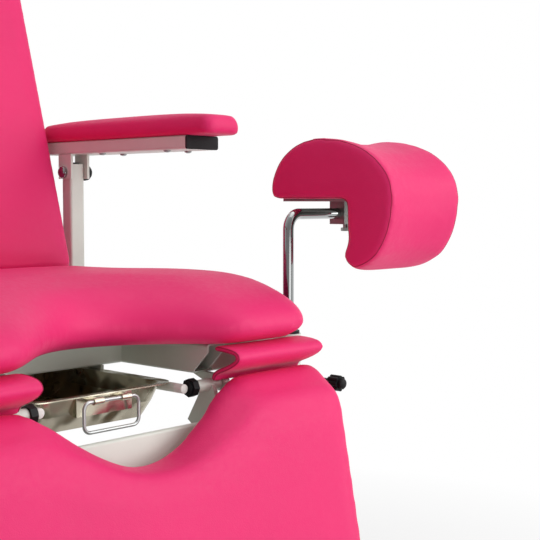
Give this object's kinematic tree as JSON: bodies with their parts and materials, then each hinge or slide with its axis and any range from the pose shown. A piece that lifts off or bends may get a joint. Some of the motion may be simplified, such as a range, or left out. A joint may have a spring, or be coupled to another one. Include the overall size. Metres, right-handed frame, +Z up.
{
  "type": "gynecological examination chair",
  "caption": "Padded examination chair on a lifting column, with reclining back, drop-down legrest, folding armrests, swivelling knee supports and a sliding tray.",
  "frame": {"origin": "floor level, under the middle of the bounding box", "axes": "patient faces -Y, patient's left is +X, +Z up"},
  "size_m": [1.06, 0.8996, 1.294],
  "materials": {
    "vinyl": "smooth satin artificial leather",
    "paint": "satin powder coat",
    "chrome": "polished",
    "steel": "satin",
    "tray_steel": "polished stainless",
    "black": "matt",
    "cap_white": "smooth",
    "rubber": "matt",
    "board": "painted plywood",
    "grey": "fine texture"
  },
  "bodies": {
    "base": {"base_frame": "paint", "base_end_caps": "black", "levelling_feet": "rubber", "column_outer": "paint", "column_guides_outer": "black", "lift_cylinder": "steel", "control_box": "grey", "mains_inlet": "black"},
    "column_mid": {"column_middle": "paint", "column_guides_inner": "black"},
    "seat": {"column_inner": "paint", "column_head": "paint", "lift_ram": "steel", "seat_rail_left": "paint", "seat_rail_right": "paint", "seat_crossbars": "paint", "seat_board": "board", "seat_cushion": "vinyl", "armrest_post_left": "paint", "armrest_post_right": "paint", "knee_holder_left": "paint", "knee_holder_right": "paint", "tray_rods": "paint", "rod_caps": "cap_white", "legrest_hinge_pins": "steel", "hinge_cap_nuts": "black", "actuator_hanger": "paint", "back_actuator": "grey", "legrest_actuator": "grey", "flap_left": "vinyl", "flap_right": "vinyl"},
    "backrest": {"back_torque_tube": "paint", "back_frame": "paint", "back_board": "board", "back_cushion": "vinyl"},
    "back_rod": {"back_actuator_rod": "steel"},
    "legrest": {"legrest_frame": "paint", "legrest_board": "board", "legrest_cushion": "vinyl"},
    "legrest_rod": {"legrest_actuator_rod": "steel"},
    "tray": {"tray_pan": "tray_steel"},
    "tray_bail": {"tray_handle": "steel"},
    "arm_left": {"armrest_tube_left": "paint", "armrest_plug_left": "black", "armrest_bolt_left": "chrome", "armrest_pad_left": "vinyl"},
    "bush_left": {"knee_bush_left": "black"},
    "rod_left": {"knee_rod_left": "chrome"},
    "pad_left": {"knee_clamp_left": "steel", "knee_pad_left": "vinyl"},
    "knob_left": {"knee_knob_left": "black"},
    "arm_right": {"armrest_tube_right": "paint", "armrest_plug_right": "black", "armrest_bolt_right": "chrome", "armrest_pad_right": "vinyl"},
    "bush_right": {"knee_bush_right": "black"},
    "rod_right": {"knee_rod_right": "chrome"},
    "pad_right": {"knee_clamp_right": "steel", "knee_pad_right": "vinyl"},
    "knob_right": {"knee_knob_right": "black"}
  },
  "joints": [
    {"name": "lift_lower", "type": "slide", "parent": "base", "child": "column_mid", "axis": [0, 0, 1], "range_m": [0, 0.125]},
    {"name": "lift_upper", "type": "slide", "parent": "column_mid", "child": "seat", "axis": [0, 0, 1], "range_m": [0, 0.125]},
    {"name": "backrest_hinge", "type": "hinge", "parent": "seat", "child": "backrest", "pos_m": [0, 0.22, 0.598], "axis": [-1, 0, 0], "range_deg": [0, 70]},
    {"name": "back_rod_slide", "type": "slide", "parent": "seat", "child": "back_rod", "axis": [0, -1, 0], "range_m": [0, 0.1784]},
    {"name": "legrest_hinge", "type": "hinge", "parent": "seat", "child": "legrest", "pos_m": [0, -0.282, 0.509], "axis": [-1, 0, 0], "range_deg": [0, 60], "deforming": ["flap_left", "flap_right"]},
    {"name": "legrest_rod_slide", "type": "slide", "parent": "seat", "child": "legrest_rod", "axis": [0, -1, 0], "range_m": [0, 0.116]},
    {"name": "tray_slide", "type": "slide", "parent": "seat", "child": "tray", "axis": [0, 1, 0], "range_m": [-0.25, 0]},
    {"name": "tray_bail_hinge", "type": "hinge", "parent": "tray", "child": "tray_bail", "pos_m": [0, -0.275, 0.5101], "axis": [-1, 0, 0], "range_deg": [0, 95]},
    {"name": "armrest_hinge_left", "type": "hinge", "parent": "seat", "child": "arm_left", "pos_m": [0.3485, 0.2355, 0.793], "axis": [-1, 0, 0], "range_deg": [0, 90]},
    {"name": "knee_swing_left", "type": "hinge", "parent": "seat", "child": "bush_left", "pos_m": [0.345, -0.248, 0.52], "axis": [0, 0, 1], "range_deg": [-90, 45]},
    {"name": "knee_height_left", "type": "slide", "parent": "bush_left", "child": "rod_left", "axis": [0, 0, 1], "range_m": [-0.05, 0.15]},
    {"name": "knee_tilt_left", "type": "hinge", "parent": "rod_left", "child": "pad_left", "pos_m": [0.463, -0.248, 0.726], "axis": [1, 0, 0], "range_deg": [-45, 45]},
    {"name": "knee_knob_turn_left", "type": "hinge", "parent": "seat", "child": "knob_left", "pos_m": [0.345, -0.34, 0.494], "axis": [0, -1, 0], "range_deg": [0, 180]},
    {"name": "armrest_hinge_right", "type": "hinge", "parent": "seat", "child": "arm_right", "pos_m": [-0.3485, 0.2355, 0.793], "axis": [-1, 0, 0], "range_deg": [0, 90]},
    {"name": "knee_swing_right", "type": "hinge", "parent": "seat", "child": "bush_right", "pos_m": [-0.345, -0.248, 0.52], "axis": [0, 0, -1], "range_deg": [-90, 45]},
    {"name": "knee_height_right", "type": "slide", "parent": "bush_right", "child": "rod_right", "axis": [0, 0, 1], "range_m": [-0.05, 0.15]},
    {"name": "knee_tilt_right", "type": "hinge", "parent": "rod_right", "child": "pad_right", "pos_m": [-0.463, -0.248, 0.726], "axis": [1, 0, 0], "range_deg": [-45, 45]},
    {"name": "knee_knob_turn_right", "type": "hinge", "parent": "seat", "child": "knob_right", "pos_m": [-0.345, -0.34, 0.494], "axis": [0, -1, 0], "range_deg": [0, 180]}
  ],
  "couplings": [
    {"joint": "lift_upper", "follows": "lift_lower", "ratio": 1},
    {"joint": "back_rod_slide", "follows": "backrest_hinge", "m_per_rad": 0.14557},
    {"joint": "legrest_rod_slide", "follows": "legrest_hinge", "m_per_rad": 0.11027}
  ]
}
